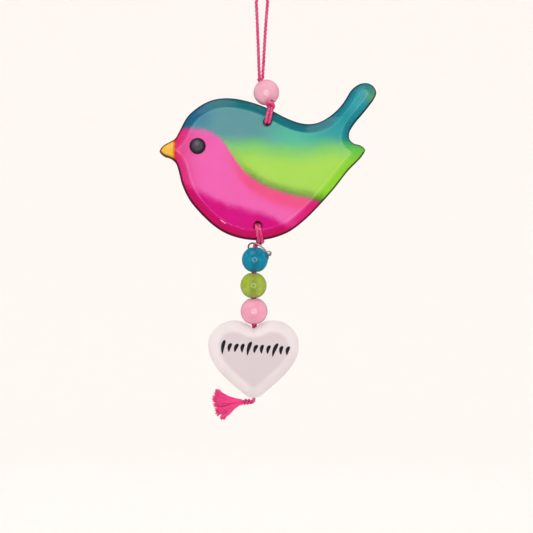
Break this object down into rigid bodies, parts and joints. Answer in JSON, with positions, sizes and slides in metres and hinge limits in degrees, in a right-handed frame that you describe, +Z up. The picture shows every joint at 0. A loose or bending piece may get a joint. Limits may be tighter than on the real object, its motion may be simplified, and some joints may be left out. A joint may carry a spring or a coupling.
{
  "type": "glass bird suncatcher",
  "caption": "Hanging ornament: a coloured fused-glass bird on a corded loop, with round beads, a frosted glass heart and a small tassel below it.",
  "frame": {"origin": "top of the hanging loop, where the suncatcher hangs from its hook", "axes": "+Z up, the bird and the heart face -Y, and the bird's beak points to -X"},
  "size_m": [0.0844, 0.0124, 0.1671],
  "materials": {
    "bird_glass": "clear glass with sprayed translucent colour, glossy: teal back and tail, green wing, pink breast, amber beak",
    "eye_enamel": "glossy plum-black dome",
    "pink_bead_glass": "milky pink glass, glossy",
    "teal_bead_glass": "deep teal glass, glossy",
    "green_bead_glass": "translucent yellow-green glass, glossy",
    "frosted_glass": "frosted clear glass with a row of plain black brush strokes on its front",
    "cord_thread": "twisted satin thread, dark pink",
    "tassel_thread": "loose satin threads, bright pink",
    "silver_wire": "bright silver plate"
  },
  "bodies": {
    "root": {"glass_bird": "bird_glass", "bird_eye": "eye_enamel", "hanging_loop": "cord_thread", "top_knot": "cord_thread", "top_cord": "cord_thread", "top_bead": "pink_bead_glass", "lower_cord": "cord_thread", "silver_ring": "silver_wire", "teal_bead": "teal_bead_glass", "green_bead": "green_bead_glass", "pink_bead": "pink_bead_glass", "glass_heart": "frosted_glass", "tassel_neck": "tassel_thread", "tassel_skirt": "tassel_thread"}
  },
  "joints": []
}
